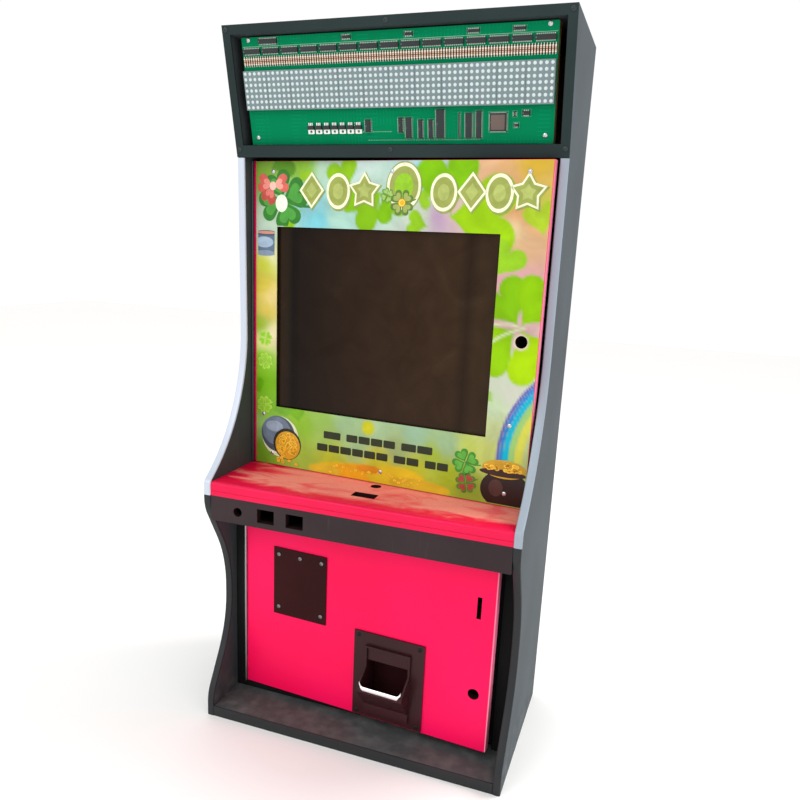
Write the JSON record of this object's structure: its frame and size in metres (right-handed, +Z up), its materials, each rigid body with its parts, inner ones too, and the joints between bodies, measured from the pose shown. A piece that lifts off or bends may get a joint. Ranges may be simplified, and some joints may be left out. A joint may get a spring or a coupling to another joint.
{
  "type": "upright amusement cabinet",
  "caption": "Upright amusement cabinet with a lamp-matrix topper, screen door, shelf and lower door with a payout cup.",
  "frame": {"origin": "on the floor, at the centre of the footprint", "axes": "+Z up, the front faces -Y, +X to the right of someone facing the front"},
  "size_m": [0.507, 0.29, 1.09],
  "materials": {
    "charcoal_laminate": "fine textured dark laminate on board",
    "black_paint": "matt black painted board",
    "silver_moulding": "satin silver push-on moulding",
    "black_moulding": "satin black push-on moulding",
    "charcoal_paint": "satin textured paint",
    "pink_paint": "glossy sprayed pink paint on board",
    "pink_moulding": "glossy light pink edging",
    "circuit_board": "green solder mask",
    "lamp_module": "grey faced lamp blocks with white dots",
    "chip_black": "moulded chip packages",
    "resistor_beige": "lacquered resistor bodies",
    "tinned_metal": "tinned",
    "screw_steel": "zinc plated",
    "screw_black": "black screws",
    "hinge_steel": "darkened steel",
    "printed_sheet": "clear sheet printed behind with pastel scenery",
    "screen_glass": "dark glossy touch glass",
    "monitor_metal": "black chassis",
    "black_plate": "glossy black plate",
    "cup_plastic": "glossy black moulding",
    "bright_lip": "polished",
    "batten_wood": "planed softwood",
    "back_board": "dark hardboard",
    "grey_metal": "galvanised sheet",
    "black_plastic": "moulded"
  },
  "bodies": {
    "cabinet": {"side_panel_left": "charcoal_laminate", "side_panel_right": "charcoal_laminate", "front_trim_left": "silver_moulding", "front_trim_right": "silver_moulding", "lower_edging_left": "black_moulding", "lower_edging_right": "black_moulding", "base_board": "charcoal_laminate", "base_edging": "black_moulding", "top_panel": "charcoal_laminate", "topper_floor": "black_paint", "topper_frame": "charcoal_paint", "topper_frame_screws": "screw_steel", "lamp_board": "circuit_board", "lamp_modules": "lamp_module", "lamp_driver_chips": "chip_black", "lamp_resistor_banks": "resistor_beige", "lamp_transistors": "tinned_metal", "lamp_logic_chips": "chip_black", "lamp_board_standoffs": "screw_steel", "lamp_board_screws": "screw_steel", "lamp_board_rails": "batten_wood", "bezel_hinge_cabinet_leaf": "hinge_steel", "bezel_hinge_pin": "hinge_steel", "bezel_stops": "black_paint", "shelf_board": "pink_paint", "shelf_nosing": "pink_paint", "button_band": "charcoal_laminate", "door_jamb_left": "black_paint", "door_jamb_right": "black_paint", "door_sill_header": "black_paint", "shelf_soffit": "black_paint", "lower_hinge_cabinet_leaf": "hinge_steel", "lower_hinge_pin": "hinge_steel", "upper_back_panel": "back_board", "lower_back_panel": "back_board", "back_battens": "batten_wood", "mains_inlet": "black_plastic", "switch_housing": "black_plastic", "power_supply": "grey_metal", "cash_box": "grey_metal", "game_board": "circuit_board", "game_board_spacers": "screw_steel", "game_board_parts": "chip_black"},
    "bezel_door": {"bezel_hinge_door_leaf": "hinge_steel", "bezel_door_board": "pink_paint", "bezel_artwork_sheet": "printed_sheet", "bezel_artwork_screws": "screw_steel", "screen_surround": "black_plastic", "screen_glass": "screen_glass", "monitor_chassis": "monitor_metal", "monitor_brackets": "grey_metal"},
    "lower_door": {"lower_hinge_door_leaf": "hinge_steel", "lower_door_panel": "pink_paint", "lower_door_edging": "pink_moulding", "blanking_plate": "black_plate", "blanking_plate_screws": "screw_steel", "payout_cup": "cup_plastic", "payout_cup_screws": "screw_black", "payout_cup_lip": "bright_lip"},
    "rocker": {"switch_rocker": "black_plastic"}
  },
  "joints": [
    {"name": "bezel_door_hinge", "type": "hinge", "parent": "cabinet", "child": "bezel_door", "pos_m": [-0.2395, -0.0144, 0.4195], "axis": [0, 0, -1], "range_deg": [-4.6, 85.4]},
    {"name": "lower_door_hinge", "type": "hinge", "parent": "cabinet", "child": "lower_door", "pos_m": [-0.2204, -0.0722, 0.0325], "axis": [0, 0, -1], "range_deg": [-3.6, 86.4]},
    {"name": "rocker_tilt", "type": "hinge", "parent": "cabinet", "child": "rocker", "pos_m": [0.198, 0.139, 0.09], "axis": [1, 0, 0], "range_deg": [-18, 0]}
  ]
}
